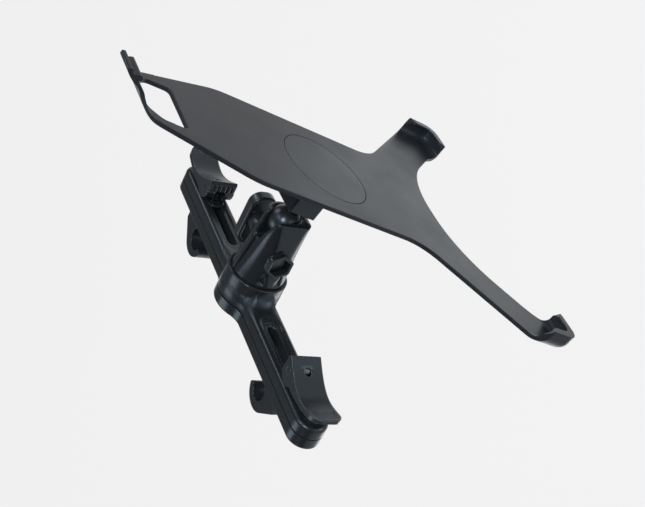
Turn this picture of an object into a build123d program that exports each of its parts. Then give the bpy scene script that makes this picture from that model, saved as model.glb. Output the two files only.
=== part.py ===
from build123d import *
from math import cos, radians, sin, tan
import os

# Headrest mount for a tablet: a bar with two quick-release post clamps, a ball joint and a tablet cradle.
# Sizes are millimetres and degrees. The row frame has X along the bar, Z up the posts and -Y to the tablet.
# Pieces are drawn in a bench frame (x along the bar, y up the posts, z to the front) and turned at the end.
# The bench frame's origin is midway between the axes of the two posts.

# Posts and jaws
post_diameter = 12.0
post_spacing = 114.0
grip_clearance = 0.1
jaw_wall = 3.2
jaw_back_extra = 1.5
jaw_width = 15.0
jaw_tip_angle = 195.0
jaw_tip_round = 1.2
jaw_seat_gap = 0.2
shank_length = 12.5
shank_slope = 44.0
shank_corner = 1.5
shank_edge_round = 1.0

# Draw bolts, lever pins and cams
draw_bolt_offset = 14.0
draw_bolt_diameter = 5.0
draw_bolt_tail = 0.6
eye_diameter = 7.4
eye_width = 6.0
pin_diameter = 3.6
pin_clearance = 0.05
nut_across_flats = 8.0
nut_height = 3.2
nut_cover = 1.5
nut_clearance = 0.12
cam_radius = 6.4
cam_offset = 1.5
cam_closed_angle = 60.0
cam_clearance = 0.25
seat_length = 16.0

# Levers, from the pin outwards
lever_width = 16.5
lever_reach = 35.0
lever_tip_height = 10.2
lever_tip_thickness = 3.2
lever_bevel = 1.0
lever_tip_slope = 16.0
lever_saddle_reach = 17.0
lever_saddle_height = 6.3
lever_saddle_thickness = 3.3
lever_nose_setback = 3.6
lever_nose_height = 14.2
lever_nose_slope = -30.0
lever_hole_diameter = 4.0
lever_hole_reach = 3.4
fork_clearance = 0.3
fork_swing = 60.0
lever_tip_corner = 6.5
nose_rib_count = 6
nose_rib_width = 0.9
nose_rib_length = 6.0
nose_rib_depth = 0.5
tip_ridge_count = 4
tip_ridge_pitch = 1.5
tip_ridge_depth = 0.35

# Bar
bar_length = 204.0
bar_width = 18.0
bar_thickness = 14.0
bar_front_round = 2.5
bar_back_round = 1.5
seam_chamfer = 0.3
boss_diameter = 33.0
boss_blend = 11.0
collar_height = 8.7
collar_foot = 8.0
collar_round = 0.8
recess_start = 26.0
recess_inset = 4.0
recess_width = 11.0
recess_depth = 0.9
slot_start = 31.5
slot_inset = 9.0
slot_clearance = 0.3
slide_clearance = 0.1

# Screws
shell_screw_diameter = 3.0
shell_screw_inset = 4.2
shell_screw_inner = 21.5
screw_head_ratio = 1.9
screw_head_height = 1.8
screw_sink = 0.4
screw_clearance = 0.05
shell_screw_bite = 4.6
socket_screw_reach = 9.0
socket_screw_spread = 6.5
socket_screw_bite = 7.0

# Ball and socket
ball_diameter = 17.0
ball_clearance = 0.25
socket_floor = 1.0
socket_base_diameter = 29.6
socket_bore_clearance = 0.2
socket_waist_length = 25.6
socket_waist_width = 22.6
socket_waist_height = 33.0
socket_top_length = 22.8
socket_top_width = 21.0
socket_corner = 4.0
far_top_size = 20.6
near_top_height = 47.8
near_rim_rise = 5.0
far_rim_drop = 1.0
socket_gap = 1.0
release_travel = 0.6
notch_depth = 15.8
notch_throat_reach = 3.2
notch_throat_round = 1.2
notch_shoulder_reach = 8.6
notch_shoulder_drop = 3.8
notch_top_reach = 10.0
far_notch_reach = 1.8
bolt_height = 24.5
bolt_diameter = 5.0
bolt_clearance = 0.1
bolt_head_flats = 10.0
bolt_head_height = 3.5
hex_pocket_depth = 7.0
hex_clearance = 0.15
near_boss_flats = 13.4
near_boss_corner = 2.0
near_boss_reach = 15.6
far_boss_diameter = 12.0
far_boss_reach = 14.9
flank_pocket_inner = 2.8
flank_pocket_outer = 7.0
flank_pocket_peak = 4.8
flank_pocket_low = 10.5
flank_pocket_high = 18.5
flank_pocket_floor = 12.2
spring_diameter = 7.6
spring_wire = 1.0
spring_turns = 4.0
spring_well_depth = 4.0
spring_well_clearance = 0.3

# Wing knob
washer_diameter = 11.0
washer_thickness = 1.0
knob_gap = 0.1
knob_hub_diameter = 11.0
knob_hub_length = 5.0
knob_span = 31.0
knob_width = 15.0
knob_thickness = 6.5
knob_dish_depth = 2.2
knob_wall = 1.8
knob_corner = 6.5
knob_edge_round = 1.2
insert_diameter = 8.0
insert_length = 7.0
insert_clearance = 0.03
bolt_end_gap = 1.0

# Cradle, from the ball's centre outwards
rest_tilt = 13.0
plate_height = 35.5
plate_thickness = 2.1
plate_edge_round = 0.4
stud_clearance = 0.3
neck_diameter = 7.0
flange_diameter = 11.0
flange_thickness = 1.2
stud_thread_diameter = 6.0
stud_thread_length = 10.0
stud_fit = 0.05
block_size = 17.0
block_drop = 25.0
block_edge_round = 1.2
pad_size = 21.0
pad_thickness = 2.0
pad_corner = 2.0
disc_diameter = 50.0
disc_thickness = 1.0
disc_gap = 0.2
block_screw_spread = 5.2
block_screw_diameter = 3.0
block_screw_head = 5.8
block_screw_head_height = 1.5
block_screw_length = 9.0

# Tablet bay, in the plate's own frame with its origin under the disc's centre on the plate's face
bay_half_width = 88.5
bay_bottom = 122.5
bay_top = 118.4
bay_depth = 7.7
cup_wall = 2.5
cup_lip_reach = 1.6
cup_lip_thickness = 1.3
cup_corner = 7.5
cup_inner_round = 4.0
cup_foot_length = 19.2
cup_foot_slant = 6.3
cup_foot_corner = 3.0
cup_ramp_start = 38.0
cup_ramp_sink = 0.8
cup_wall_foot = 26.7
cup_wall_foot_height = 0.5
cup_wall_knee = 19.7
cup_wall_knee_height = 3.1
cup_wall_crest = 14.2

# Plate outline
stem_half_width = 36.0
stem_blend = 28.0
arm_width = 24.3
arm_angle = 45.0
arm_start = 49.8
crotch_reach = 78.5
crotch_flat = 3.0
arm_end_round = 3.0
arm_inner_round = 14.0
shoulder_reach = 56.0
shoulder_round = 45.0
strap_half_width = 17.8
strap_drop = 8.0
strap_round = 12.0
hole_half_width = 15.6
hole_top_half_width = 9.5
hole_length = 20.4
hole_shoulder = 6.9
hole_corner = 2.5
hole_top_round = 7.0

# Clip, a bent sheet: the places of its curve are drops from the bay's top edge and heights over the plate
clip_width = 14.5
clip_end_reach = 7.4
clip_end_corner = 1.5
clip_root_drop = 6.0
clip_sheet_drop = 22.0
clip_bend_drop = 12.0
clip_blend = 3.0
clip_foot_drop = 6.4
clip_knee_drop = 3.6
clip_knee_height = 3.4
clip_heel_drop = 0.2
clip_heel_height = 5.8
clip_inside_drop = 5.8
clip_inside_height = 3.6
clip_lip_gap = 0.4
clip_hook_reach = 1.3
clip_hook_thickness = 1.0
clip_nose_height = 10.9
clip_valley_reach = 2.6
clip_valley_height = 10.3
clip_ridge_reach = 5.0
clip_ridge_height = 12.3

# Places that follow from the sizes above
grip_radius = post_diameter / 2 + grip_clearance
post_x = post_spacing / 2
clamp_x = post_x + draw_bolt_offset
back_z = grip_radius
seam_z = back_z + bar_thickness / 2
front_z = back_z + bar_thickness
pin_height = cam_radius + cam_offset * cos(radians(cam_closed_angle)) + cam_clearance
pin_z = front_z + pin_height
bolt_z = front_z + bolt_height
ball_z = front_z + near_top_height - near_rim_rise
ball_radius = ball_diameter / 2
far_top_height = near_top_height - far_rim_drop
notch_floor = near_top_height - notch_depth
notch_shoulder_height = near_top_height - notch_shoulder_drop
slot_width = draw_bolt_diameter + 2 * slot_clearance
boss_radius = boss_diameter / 2
recess_end = bar_length / 2 - recess_inset
slot_end = bar_length / 2 - slot_inset
shell_screw_reach = bar_length / 2 - shell_screw_inset
clip_root = bay_top - clip_root_drop
clip_end = bay_top + clip_end_reach
hole_end = clip_root - clip_blend
hole_start = hole_end - hole_length
shank_end = grip_radius + shank_length
nut_seat = back_z - jaw_seat_gap - nut_cover
nut_base = nut_seat - nut_height
tall = 4 * bar_thickness
wide = 2 * bar_length
past = 1.0

bench_to_row = Plane.XZ.location
cradle_place = Pos(0, 0, ball_z) * Rot(rest_tilt, 0, 0)
plate_place = cradle_place * Pos(0, 0, plate_height)


def rounded_polygon(corners):
    """A face with the given corners, each an x, a y and a rounding radius, in anticlockwise order."""
    face = Polygon(*[(x, y) for x, y, r in corners], align=None)
    for x, y, r in corners:
        if r > 0:
            corner = face.vertices().sort_by_distance((x, y, 0))[0]
            face = fillet(corner, r)
    return face


def prism(face, low, high):
    """The face, drawn on the bench plane, raised from one height to another."""
    return extrude(Pos(0, 0, low) * face, high - low)


def rod(diameter, start, end, direction):
    """A round bar between two places along a direction, through the origin of the other two axes."""
    plane = Plane((0, 0, 0), z_dir=direction).offset(start)
    return extrude(plane * Circle(diameter / 2), end - start)


def side_face(face):
    """A face drawn as x and height, turned to stand upright along the bar, in the plane y = 0."""
    return Plane((0, 0, 0), x_dir=(1, 0, 0), z_dir=(0, -1, 0)) * face


def across(face, width):
    """An upright face along the bar made as wide as given, evenly about the bar's middle."""
    return extrude(side_face(face), width / 2, both=True)


def bar_outline():
    """Outline of the bar with the round boss blended into its sides."""
    outline = SlotOverall(bar_length, bar_width) + Circle(boss_radius)
    joins = outline.vertices().filter_by(lambda v: abs(v.X) < boss_radius)
    return fillet(joins, boss_blend)


def slot_between(start, end, width):
    """A round-ended slot along the bar."""
    return Pos((start + end) / 2, 0) * SlotOverall(end - start, width)


def both_arms(solid):
    """The solid on the far arm together with its mirror image on the near arm."""
    return solid + mirror(solid, about=Plane.YZ)


def screw(place, shank_diameter, head_base, tip):
    """A cheese-head screw driven from the back, with its head's underside and tip at the given heights."""
    head = prism(Circle(shank_diameter * screw_head_ratio / 2), head_base - screw_head_height, head_base)
    shank = prism(Circle(shank_diameter / 2), head_base, tip)
    return Pos(place[0], place[1], 0) * (head + shank)


def screw_hole(place, shank_diameter, head_base, tip):
    """Counterbore and clearance hole for the same screw."""
    head_radius = shank_diameter * screw_head_ratio / 2 + screw_clearance
    head = prism(Circle(head_radius), back_z - screw_sink, head_base + screw_clearance)
    shank = prism(Circle(shank_diameter / 2 + screw_clearance), back_z - screw_sink, tip + screw_clearance)
    return Pos(place[0], place[1], 0) * (head + shank)


# Screw places, shared by the screws and their holes
screw_seat_z = back_z + screw_sink + screw_head_height
shell_screw_tip = seam_z + shell_screw_bite
socket_screw_tip = front_z + socket_floor + socket_screw_bite
shell_screw_reaches = (shell_screw_inner, shell_screw_reach)
shell_screw_places = [(side * reach, 0) for side in (-1, 1) for reach in shell_screw_reaches]
socket_screw_places = [(socket_screw_reach, sy) for sy in (-socket_screw_spread, socket_screw_spread)]


def screw_holes():
    """Every hole for the bar's screws and the socket's screws."""
    places = [(place, shell_screw_tip) for place in shell_screw_places]
    places += [(place, socket_screw_tip) for place in socket_screw_places]
    return [screw_hole(place, shell_screw_diameter, screw_seat_z, tip) for place, tip in places]


def collar():
    """The boss and its collar, with a curved foot where it stands on the bar's front face."""
    boss = prism(Circle(boss_radius), seam_z, front_z + collar_height)
    boss = fillet(boss.edges().group_by(Axis.Z)[-1], collar_round)
    inside = boss_radius - collar_round
    foot = make_face([
        Line((inside, 0), (boss_radius + collar_foot, 0)),
        RadiusArc((boss_radius + collar_foot, 0), (boss_radius, collar_foot), collar_foot),
        Polyline((boss_radius, collar_foot), (inside, collar_foot), (inside, 0)),
    ])
    foot = Pos(0, 0, front_z) * revolve(Plane.XZ * foot, Axis.Z)
    plane = Plane((0, 0, front_z), x_dir=(0, 1, 0), z_dir=(1, 0, 0))
    ridge = plane * Ellipse(bar_width / 2 - bar_front_round, collar_foot + past)
    return boss + (foot & extrude(ridge, wide, both=True))


def bar_shells():
    """Front and rear shells of the bar, parted at the seam."""
    outline = bar_outline()
    front = prism(SlotOverall(bar_length, bar_width), seam_z, front_z)
    front = fillet(front.edges().group_by(Axis.Z)[-1], bar_front_round)
    front += prism(outline, seam_z, front_z - bar_front_round)
    front = chamfer(front.edges().group_by(Axis.Z)[0], seam_chamfer)
    front += collar()
    bore_radius = socket_base_diameter / 2 + socket_bore_clearance
    front -= prism(Circle(bore_radius), front_z + socket_floor, front_z + tall)
    rear = prism(outline, back_z, seam_z)
    rear = fillet(rear.edges().group_by(Axis.Z)[0], bar_back_round)
    rear = chamfer(rear.edges().group_by(Axis.Z)[-1], seam_chamfer)
    recess = slot_between(recess_start, recess_end, recess_width)
    recess = prism(recess, front_z - recess_depth, front_z + tall)
    slot = prism(slot_between(slot_start, slot_end, slot_width), 0, front_z + tall)
    front -= both_arms(recess)
    for cut in [both_arms(slot)] + screw_holes():
        front -= cut
        rear -= cut
    return front, rear


def screws(places, tip):
    """A group of like screws in the bar's back."""
    return Part() + [screw(p, shell_screw_diameter, screw_seat_z, tip) for p in places]


def hexagon(across_flats):
    """A hexagon with two flats level."""
    return RegularPolygon(across_flats / 2, 6, major_radius=False, rotation=30)


def along_bar(face, start, end):
    """A face drawn across the bar at the bolt's height, raised between two places along the bar."""
    plane = Plane((start, 0, bolt_z), x_dir=(0, 1, 0), z_dir=(1, 0, 0))
    return extrude(plane * face, end - start)


def socket_section(length, width, corner, height):
    """One cross section of the socket's column at a height over the bar."""
    return Pos(0, 0, front_z + height) * RectangleRounded(length, width, corner)


def socket_column():
    """The socket's outside: a round foot that grows into a rounded square near half and a slim far half."""
    base = socket_base_diameter
    foot = socket_section(base, base, base / 2 - socket_bore_clearance, collar_height)
    near = loft([
        foot,
        socket_section(socket_waist_length, socket_waist_width, 2 * socket_corner, socket_waist_height),
        socket_section(socket_top_length, socket_top_width, socket_corner, near_top_height),
    ])
    far_corner = far_top_size / 2 - socket_bore_clearance
    far = loft([foot, socket_section(far_top_size, far_top_size, far_corner, near_top_height)])
    room = Pos(wide / 2, 0, 0) * Box(wide, wide, wide)
    column = (far & room) + (near & mirror(room, about=Plane.YZ))
    column += prism(Circle(base / 2), front_z + socket_floor, front_z + collar_height)
    near_boss = fillet(hexagon(near_boss_flats).vertices(), near_boss_corner)
    column += along_bar(near_boss, -near_boss_reach, 0)
    return column + along_bar(Circle(far_boss_diameter / 2), 0, far_boss_reach)


def socket_notch():
    """The notch in the socket's upper side: a wide V in the near half and a step in the far one."""
    notch = rounded_polygon([
        (-notch_throat_reach, notch_floor, notch_throat_round),
        (far_notch_reach, notch_floor, 0),
        (far_notch_reach, near_top_height + past, 0),
        (-notch_top_reach, near_top_height + past, 0),
        (-notch_shoulder_reach, notch_shoulder_height, 0),
    ])
    return extrude(side_face(Pos(0, front_z) * notch), -wide)


def socket_body():
    """The whole socket before it is parted, with the ball's hollow, the notch and the bolt's hole."""
    body = socket_column() - Pos(0, 0, ball_z) * Sphere(ball_radius + ball_clearance)
    body -= socket_notch()
    body -= along_bar(Circle(bolt_diameter / 2 + bolt_clearance), -wide, wide)
    well_radius = spring_diameter / 2 + spring_wire / 2 + spring_well_clearance
    well_reach = socket_gap / 2 + spring_well_depth
    body -= along_bar(Circle(well_radius), -well_reach, well_reach)
    pocket = hexagon(bolt_head_flats + 2 * hex_clearance)
    body -= along_bar(pocket, -wide, -near_boss_reach + hex_pocket_depth)
    flank = Polygon(
        (flank_pocket_inner, flank_pocket_low - bolt_height),
        (flank_pocket_outer, flank_pocket_low - bolt_height),
        (flank_pocket_peak, flank_pocket_high - bolt_height),
        align=None,
    )
    flank = along_bar(flank, -wide, -flank_pocket_floor)
    return body - flank - mirror(flank, about=Plane.XZ)


def socket_halves():
    """The near and far halves, parted by the socket's gap, the near one with room to move outwards."""
    body = socket_body()
    room = Pos(wide / 2 + socket_gap / 2, 0, 0) * Box(wide, wide, wide)
    far = body & room & prism(Circle(wide), 0, front_z + far_top_height)
    near = body & mirror(room, about=Plane.YZ)
    base_radius = socket_base_diameter / 2
    tight = prism(Circle(wide) - Pos(release_travel, 0) * Circle(base_radius), 0, front_z + collar_height)
    near -= tight
    for place in socket_screw_places:
        far -= screw_hole(place, shell_screw_diameter, screw_seat_z, socket_screw_tip)
    return near, far


def clamp_bolt():
    """Bolt through the socket, its head at the bottom of the hexagonal pocket."""
    seat = -near_boss_reach + hex_pocket_depth
    end = knob_back() - bolt_end_gap
    head = along_bar(hexagon(bolt_head_flats), seat - bolt_head_height, seat)
    return head + along_bar(Circle(bolt_diameter / 2), seat, end)


def knob_front():
    """Place of the knob's inner face along the bar."""
    return far_boss_reach + washer_thickness + knob_gap


def knob_back():
    """Place of the knob's outer face along the bar."""
    return knob_front() + knob_hub_length + knob_thickness


def wing_knob():
    """Two-lobed knob with a thick rim, dished on both faces, its lobes upright."""
    paddle_start = knob_front() + knob_hub_length
    lobes = RectangleRounded(knob_width, knob_span, knob_corner)
    paddle = along_bar(lobes, paddle_start, knob_back())
    paddle = fillet(paddle.edges(), knob_edge_round)
    dish = offset(lobes, -knob_wall) - Circle(knob_hub_diameter / 2)
    paddle -= along_bar(dish, paddle_start - past, paddle_start + knob_dish_depth)
    paddle -= along_bar(dish, knob_back() - knob_dish_depth, knob_back() + past)
    knob = paddle + along_bar(Circle(knob_hub_diameter / 2), knob_front(), paddle_start + knob_dish_depth)
    bolt_hole_end = knob_back() - bolt_end_gap + bolt_clearance
    knob -= along_bar(Circle(bolt_diameter / 2 + bolt_clearance), 0, bolt_hole_end)
    return knob - along_bar(Circle(insert_diameter / 2 + insert_clearance), 0, knob_front() + insert_length)


def knob_insert():
    """Threaded insert in the knob's hub."""
    ring = Circle(insert_diameter / 2) - Circle(bolt_diameter / 2 + pin_clearance)
    return along_bar(ring, knob_front(), knob_front() + insert_length)


def thrust_washer():
    """Washer between the knob and the far socket half."""
    ring = Circle(washer_diameter / 2) - Circle(bolt_diameter / 2 + bolt_clearance)
    return along_bar(ring, far_boss_reach, far_boss_reach + washer_thickness)


def release_spring():
    """Open coil spring round the bolt between the two socket halves."""
    length = socket_gap + 2 * spring_well_depth - 2 * spring_wire
    coil = Helix(pitch=length / spring_turns, height=length, radius=spring_diameter / 2)
    wire = sweep(Plane(coil @ 0, z_dir=coil % 0) * Circle(spring_wire / 2), path=coil)
    return Pos(-length / 2, 0, bolt_z) * Rot(0, 90, 0) * wire


def lever():
    """Far cam lever: an eccentric cam, a ridged nose and a tongue that dips and lifts to a rounded tip."""
    cam_angle = radians(cam_closed_angle)
    cam = Pos(cam_offset * sin(cam_angle), pin_height - cam_offset * cos(cam_angle)) * Circle(cam_radius)
    cam &= Rectangle(wide, 2 * pin_height)
    nose = (-lever_nose_setback, lever_nose_height)
    tip = (lever_reach - lever_bevel, lever_tip_height)
    tip_end = (lever_reach, lever_tip_height - lever_tip_thickness / 2)
    tip_under = (lever_reach - 2 * lever_bevel, lever_tip_height - lever_tip_thickness)
    dip = (lever_saddle_reach, lever_saddle_height)
    dip_under = (lever_saddle_reach, lever_saddle_height - lever_saddle_thickness)
    root_under = (cam_radius / 2, cam_clearance + cam_radius / 3)
    heel = (-lever_nose_setback - lever_bevel, pin_height - lever_bevel)
    chin = (-lever_nose_setback - lever_bevel, lever_nose_height - lever_bevel)
    slopes = [(1, tan(radians(angle))) for angle in (lever_nose_slope, lever_tip_slope)]
    top = Spline(nose, dip, tip, tangents=slopes)
    under = Spline(tip_under, dip_under, root_under)
    rest = Polyline(root_under, heel, chin, nose)
    side = make_face([top, Line(tip, tip_end), Line(tip_end, tip_under), under, rest]) + cam
    plan_start = -2 * cam_radius
    plan = rounded_polygon([
        (plan_start, -lever_width / 2, 0),
        (lever_reach, -lever_width / 2, lever_tip_corner),
        (lever_reach, lever_width / 2, lever_tip_corner),
        (plan_start, lever_width / 2, 0),
    ])
    body = across(side, lever_width) & prism(plan, 0, tall)
    fork_reach = draw_bolt_diameter / 2 + fork_clearance
    swing = radians(fork_swing - 90)
    fork_rise = fork_reach / cos(swing)
    far_reach = 3 * cam_radius
    fork = Polygon(
        (fork_reach, 0),
        (0, fork_rise),
        (-far_reach, fork_rise + far_reach * tan(swing)),
        (-far_reach, -far_reach),
        (fork_reach, -far_reach),
        align=None,
    )
    fork += Circle(eye_diameter / 2 + fork_clearance)
    body -= across(Pos(0, pin_height) * fork, eye_width + 2 * fork_clearance)
    body -= across(Pos(0, pin_height) * Circle(pin_diameter / 2 + pin_clearance), wide)
    hole = Pos(lever_hole_reach, 0) * Circle(lever_hole_diameter / 2)
    body -= prism(hole, pin_height, tall)
    pitch = lever_width / nose_rib_count
    for index in range(1, nose_rib_count):
        groove = Pos(chin[0], index * pitch - lever_width / 2, lever_nose_height)
        body -= groove * Rot(0, 45, 0) * Box(2 * nose_rib_depth, nose_rib_width, nose_rib_length)
    tip_face = Pos(tip[0], 0, tip[1]) * Rot(0, -lever_tip_slope, 0)
    for index in range(1, tip_ridge_count + 1):
        arc = Circle(lever_width) - Circle(lever_width - tip_ridge_pitch / 2)
        arc &= Pos(lever_width, 0) * Rectangle(lever_width, lever_width - 2 * tip_ridge_pitch)
        ridge = prism(Pos(-index * tip_ridge_pitch - lever_width, 0) * arc, -tip_ridge_depth, tall)
        body -= tip_face * ridge
    return Pos(clamp_x, 0, front_z) * body


def lever_pin():
    """Far lever's pivot pin."""
    return Pos(clamp_x, 0, pin_z) * rod(pin_diameter, -lever_width / 2, lever_width / 2, (0, 1, 0))


def draw_bolt():
    """Far eye bolt, from the lever's pin through the bar to the jaw's nut."""
    eye = across(Circle(eye_diameter / 2) - Circle(pin_diameter / 2 + pin_clearance), eye_width)
    shank = Pos(0, 0, -pin_z) * prism(Circle(draw_bolt_diameter / 2), nut_base - draw_bolt_tail, pin_z)
    shank -= across(Circle((eye_diameter + pin_diameter) / 4), wide)
    return Pos(clamp_x, 0, pin_z) * (eye + shank)


def cam_seat():
    """Far cam seat, a plate that slides in the bar's recess under the cam."""
    plate = SlotOverall(seat_length, recess_width - 2 * slide_clearance)
    plate -= Circle(draw_bolt_diameter / 2 + slot_clearance)
    return Pos(clamp_x, 0, 0) * prism(plate, front_z - recess_depth, front_z)


def jaw():
    """Far jaw: a hook round the back of the post and a shank that the draw bolt pulls."""
    outer = grip_radius + jaw_wall
    back = Pos(jaw_back_extra, 0) * Circle(outer + jaw_back_extra)
    tip = radians(jaw_tip_angle)
    wedge = Polygon(
        (0, 0),
        (2 * outer * cos(tip), 2 * outer * sin(tip)),
        (-2 * outer, -2 * outer),
        (2 * outer, -2 * outer),
        (2 * outer, 0),
        align=None,
    )
    hook = (back - Circle(grip_radius)) & wedge
    for radius in (outer, grip_radius):
        place = (radius * cos(tip), radius * sin(tip), 0)
        hook = fillet(hook.vertices().sort_by_distance(place)[0], jaw_tip_round)
    slope = radians(shank_slope)
    back_radius = outer + jaw_back_extra
    leave = (jaw_back_extra + back_radius * sin(slope), -back_radius * cos(slope))
    end_base = leave[1] + (shank_end - leave[0]) * tan(slope)
    shank = rounded_polygon([
        (leave[0], leave[1], 0),
        (shank_end, end_base, shank_corner),
        (shank_end, back_z - jaw_seat_gap, shank_edge_round),
        (grip_radius, back_z - jaw_seat_gap, 0),
        (0, 0, 0),
    ])
    body = Pos(post_x, 0, 0) * across(hook + shank - Circle(grip_radius), jaw_width)
    bolt = prism(Circle(draw_bolt_diameter / 2 + bolt_clearance), -wide, wide)
    nut = prism(hexagon(nut_across_flats + 2 * nut_clearance), -wide, nut_seat)
    return body - Pos(clamp_x, 0, 0) * (bolt + nut)


def jaw_nut():
    """Nut in the far jaw's pocket, on the end of the draw bolt."""
    ring = hexagon(nut_across_flats) - Circle(draw_bolt_diameter / 2 + pin_clearance)
    return Pos(clamp_x, 0, 0) * prism(ring, nut_base, nut_seat)


def plate_outline():
    """Outline of the cradle seen from the front: stem, arms, straps and clip, with the straps' opening."""
    cup_side = bay_half_width + cup_wall
    cup_foot = bay_bottom + cup_wall
    lean = tan(radians(arm_angle))
    arm_drop = arm_width / cos(radians(arm_angle))
    inner_x = cup_side - cup_foot_length
    knee_x = inner_x - cup_foot_slant
    knee_y = -arm_start - arm_drop - (knee_x - stem_half_width) * lean
    crotch_x = stem_half_width + (crotch_reach - arm_start - arm_drop) / lean
    crotch_radius = (crotch_x - crotch_flat) / tan(radians(arm_angle / 2))
    half = rounded_polygon([
        (0, -crotch_reach, 0),
        (crotch_x, -crotch_reach, crotch_radius),
        (knee_x, knee_y, arm_inner_round),
        (inner_x, -cup_foot, cup_foot_corner),
        (cup_side, -cup_foot, 0),
        (cup_side, -arm_start - (cup_side - stem_half_width) * lean, arm_end_round),
        (stem_half_width, -arm_start, stem_blend),
        (stem_half_width, shoulder_reach, shoulder_round),
        (strap_half_width, bay_top - strap_drop, strap_round),
        (clip_width / 2, clip_root, clip_blend),
        (clip_width / 2, clip_end, clip_end_corner),
        (0, clip_end, 0),
    ])
    hole = rounded_polygon([
        (-hole_half_width, hole_start, hole_corner),
        (hole_half_width, hole_start, hole_corner),
        (hole_half_width, hole_end - hole_shoulder, hole_top_round),
        (hole_top_half_width, hole_end, hole_top_round),
        (-hole_top_half_width, hole_end, hole_top_round),
        (-hole_half_width, hole_end - hole_shoulder, hole_top_round),
    ])
    return half + mirror(half, about=Plane.YZ) - hole


def cup_place():
    """Upright plane along the far arm's diagonal, its origin at the cup's outer corner."""
    corner = (bay_half_width + cup_wall, -bay_bottom - cup_wall, 0)
    angle = radians(arm_angle)
    return Plane(corner, x_dir=(cos(angle), -sin(angle), 0), z_dir=(-sin(angle), -cos(angle), 0))


def corner_block(wall, low, high, corner, round_under):
    """A block with its corner at the far cup, a wall out from the bay and rounded underneath."""
    side = bay_half_width + wall
    foot = bay_bottom + wall
    face = rounded_polygon([(0, -foot, 0), (side, -foot, corner), (side, 0, 0), (0, 0, 0)])
    block = prism(face, low, high)
    under = block.edges().group_by(Axis.Z)[0]
    outer = under.filter_by(lambda e: e.center().X > 0 and e.center().Y < -cup_wall)
    return fillet(outer, round_under)


def cup_walls(outline):
    """Far cup's walls, which curl up along the arm's end, before the tablet's room is cut out."""
    rim = bay_depth + cup_lip_thickness
    end = Rectangle(2 * cup_ramp_start, 2 * cup_ramp_start)
    place = Pos(bay_half_width + cup_wall, -bay_bottom - cup_wall) * Rot(0, 0, arm_angle)
    curl = Spline(
        (-cup_wall_crest, rim),
        (-cup_wall_knee, cup_wall_knee_height),
        (-cup_wall_foot, cup_wall_foot_height),
        (-cup_ramp_start, -cup_ramp_sink),
    )
    rest = Polyline(
        (-cup_ramp_start, -cup_ramp_sink),
        (-cup_ramp_start, -plate_thickness),
        (cup_corner, -plate_thickness),
        (cup_corner, rim),
        (-cup_wall_crest, rim),
    )
    side = extrude(cup_place() * make_face([curl, rest]), wide, both=True)
    return prism(outline & (place * end), -plate_thickness, rim) & side


def cup_cuts():
    """What is cut from the far cup: the tablet's room, the lip's mouth and all outside its shell."""
    room = corner_block(0, 0, bay_depth, cup_corner - cup_wall, cup_inner_round)
    mouth = rounded_polygon([
        (0, cup_lip_reach - bay_bottom, 0),
        (bay_half_width - cup_lip_reach, cup_lip_reach - bay_bottom, cup_corner - cup_wall),
        (bay_half_width - cup_lip_reach, 0, 0),
        (0, 0, 0),
    ])
    room += prism(mouth, bay_depth / 2, tall)
    shell = corner_block(cup_wall, -plate_thickness, tall, cup_corner, cup_wall + cup_inner_round)
    place = Pos(bay_half_width + cup_wall, -bay_bottom - cup_wall, 0)
    outside = place * Box(2 * cup_ramp_start, 2 * cup_ramp_start, tall) - shell
    return room, outside


def clip_sheet():
    """The sheet that leaves the plate's top, bends up and ends in a hook, a valley and a thumb ridge."""
    start = bay_top - clip_sheet_drop
    bend = bay_top - clip_bend_drop
    lip_low = bay_depth + clip_lip_gap
    ridge = (bay_top + clip_ridge_reach, clip_ridge_height)
    end = (clip_end, clip_nose_height)
    under = Spline(
        (bend, -plate_thickness),
        (bay_top - clip_foot_drop, 0),
        (bay_top - clip_knee_drop, clip_knee_height),
        (bay_top - clip_heel_drop, clip_heel_height),
        end,
        tangents=[(1, 0), (1, 1)],
    )
    tab = Spline(end, ridge, tangents=[(0, 1), (-1, 0)])
    dip = Spline(
        ridge,
        (bay_top + clip_valley_reach, clip_valley_height),
        (bay_top, clip_nose_height),
        (bay_top - clip_hook_reach, lip_low + clip_hook_thickness),
        (bay_top, lip_low),
    )
    inner = Spline(
        (bay_top, lip_low),
        (bay_top - clip_inside_drop, clip_inside_height),
        (bend + plate_thickness, 0),
        tangents=[(-1, -1), (-1, 0)],
    )
    flat = Polyline(
        (bend + plate_thickness, 0),
        (start, 0),
        (start, -plate_thickness),
        (bend, -plate_thickness),
    )
    plane = Plane((0, 0, 0), x_dir=(0, 1, 0), z_dir=(1, 0, 0))
    return extrude(plane * make_face([under, tab, dip, inner, flat]), stem_half_width, both=True)


def block_screw_places():
    """Places of the four screws that hold the block."""
    return [(sx * block_screw_spread, sy * block_screw_spread) for sx in (-1, 1) for sy in (-1, 1)]


def block_screw(place, clearance):
    """A countersunk screw under the disc, or its hole where a clearance is given."""
    radius = block_screw_diameter / 2 + clearance
    hung = (Align.CENTER, Align.CENTER, Align.MAX)
    head = Cone(radius, block_screw_head / 2 + clearance, block_screw_head_height, align=hung)
    shank = Cylinder(radius, block_screw_length + clearance, align=hung)
    return Pos(place[0], place[1], -disc_thickness) * (head + shank)


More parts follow.
